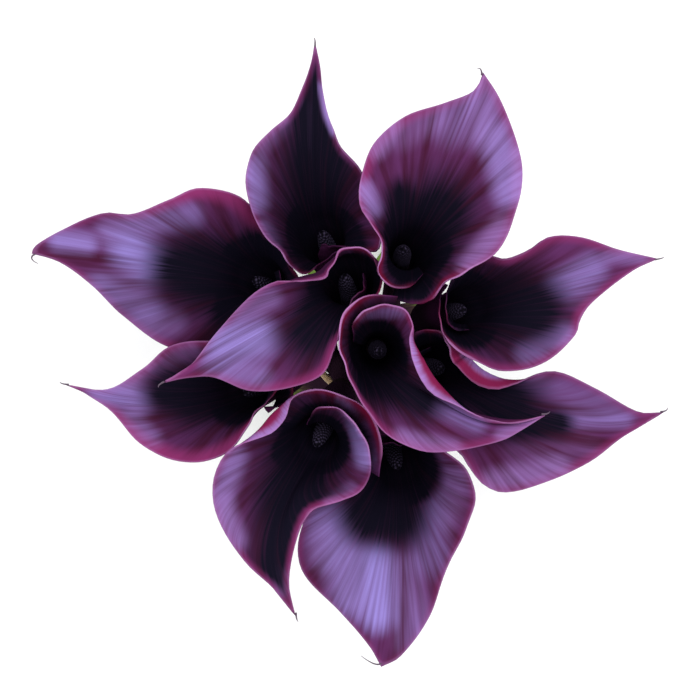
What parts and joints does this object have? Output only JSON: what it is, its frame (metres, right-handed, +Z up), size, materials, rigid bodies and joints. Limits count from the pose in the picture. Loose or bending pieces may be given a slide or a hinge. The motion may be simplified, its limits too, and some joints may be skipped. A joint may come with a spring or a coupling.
{
  "type": "hand-tied bunch of dark purple calla lilies",
  "caption": "Hand-tied posy of near-black purple mini calla lilies, spiralled through one twine tie and standing on its cut stem ends, blooms opening outwards.",
  "frame": {"origin": "on the table under the middle of the bunch", "axes": "+Z up from the cut stem ends to the blooms; +Y is the top of the bunch as seen from above, +X its right"},
  "size_m": [0.215, 0.2121, 0.2744],
  "materials": {
    "spathe": "satin petal, near-black throat to lilac limb with a pink margin",
    "spadix": "granular, dark purple florets",
    "stem": "smooth fresh stem, green flushed with purple at the top",
    "tie": "natural twine"
  },
  "bodies": {
    "root": {"stem_01": "stem", "spathe_01": "spathe", "spadix_01": "spadix", "stem_02": "stem", "spathe_02": "spathe", "spadix_02": "spadix", "stem_03": "stem", "spathe_03": "spathe", "spadix_03": "spadix", "stem_04": "stem", "spathe_04": "spathe", "spadix_04": "spadix", "stem_05": "stem", "spathe_05": "spathe", "spadix_05": "spadix", "stem_06": "stem", "spathe_06": "spathe", "spadix_06": "spadix", "stem_07": "stem", "spathe_07": "spathe", "spadix_07": "spadix", "stem_08": "stem", "spathe_08": "spathe", "spadix_08": "spadix", "stem_09": "stem", "spathe_09": "spathe", "spadix_09": "spadix", "stem_10": "stem", "spathe_10": "spathe", "spadix_10": "spadix", "tie": "tie"}
  },
  "joints": []
}
